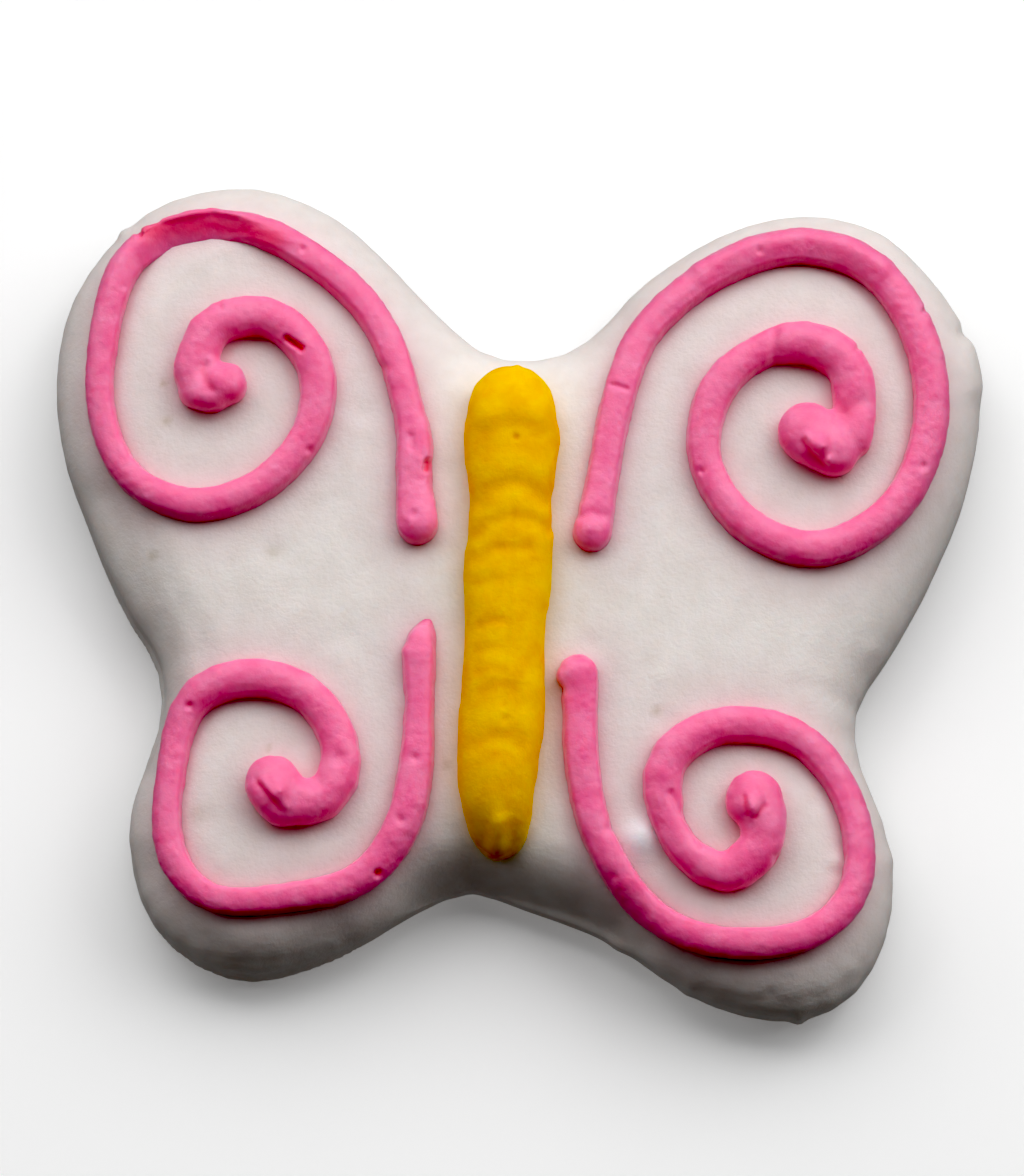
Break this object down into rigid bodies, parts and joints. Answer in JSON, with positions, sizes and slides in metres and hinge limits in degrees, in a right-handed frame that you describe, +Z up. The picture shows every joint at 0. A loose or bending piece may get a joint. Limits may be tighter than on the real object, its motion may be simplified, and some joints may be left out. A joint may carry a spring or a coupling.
{
  "type": "iced sugar cookie",
  "caption": "Butterfly-shaped sugar cookie coated in white icing, with a thick piped yellow body and a piped pink swirl on each wing.",
  "frame": {"origin": "on the surface the cookie rests on, under the middle of its outline", "axes": "+Z up out of the iced top, +Y towards the butterfly's head, +X towards its right wings as seen from above"},
  "size_m": [0.0978, 0.0892, 0.0161],
  "materials": {
    "baked_dough": "matte baked crumb",
    "white_icing": "smooth dried icing with a soft satin sheen",
    "pink_icing": "matte dried icing with fine grain",
    "yellow_icing": "soft satin dried icing"
  },
  "bodies": {
    "root": {"biscuit": "baked_dough", "icing": "white_icing", "piped_body": "yellow_icing", "swirl_upper_left": "pink_icing", "swirl_upper_right": "pink_icing", "swirl_lower_left": "pink_icing", "swirl_lower_right": "pink_icing"}
  },
  "joints": []
}
